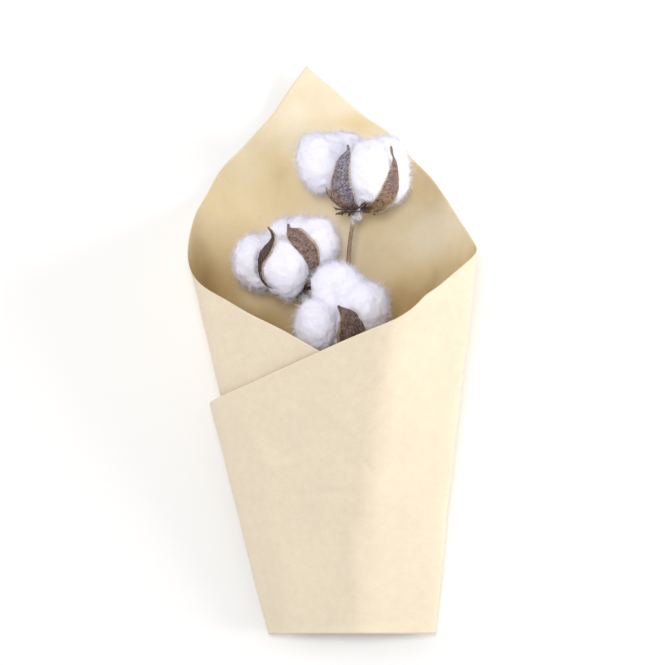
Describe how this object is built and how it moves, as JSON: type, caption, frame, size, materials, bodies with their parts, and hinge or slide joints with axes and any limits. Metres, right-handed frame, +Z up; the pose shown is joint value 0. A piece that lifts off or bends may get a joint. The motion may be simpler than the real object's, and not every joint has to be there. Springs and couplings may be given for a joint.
{
  "type": "cotton stem bunch",
  "caption": "Cotton stems with open fluffy bolls, rolled in a cone of kraft paper and laid on its back with the bolls showing at the open mouth.",
  "frame": {"origin": "middle of the bounding box on the surface that the bunch lies on", "axes": "+Y from the cut stem ends to the paper's raised corner, +Z up through the front of the wrap, +X to the viewer's right"},
  "size_m": [0.1878, 0.3812, 0.1037],
  "materials": {
    "kraft_paper": "matte",
    "cotton_lint": "fluffy",
    "dried_bur": "matte",
    "dried_stem": "matte"
  },
  "bodies": {
    "root": {"paper_wrap": "kraft_paper", "lint_top": "cotton_lint", "bur_top": "dried_bur", "stem_top": "dried_stem", "lint_left": "cotton_lint", "bur_left": "dried_bur", "stem_left": "dried_stem", "lint_low": "cotton_lint", "bur_low": "dried_bur", "stem_low": "dried_stem"}
  },
  "joints": []
}
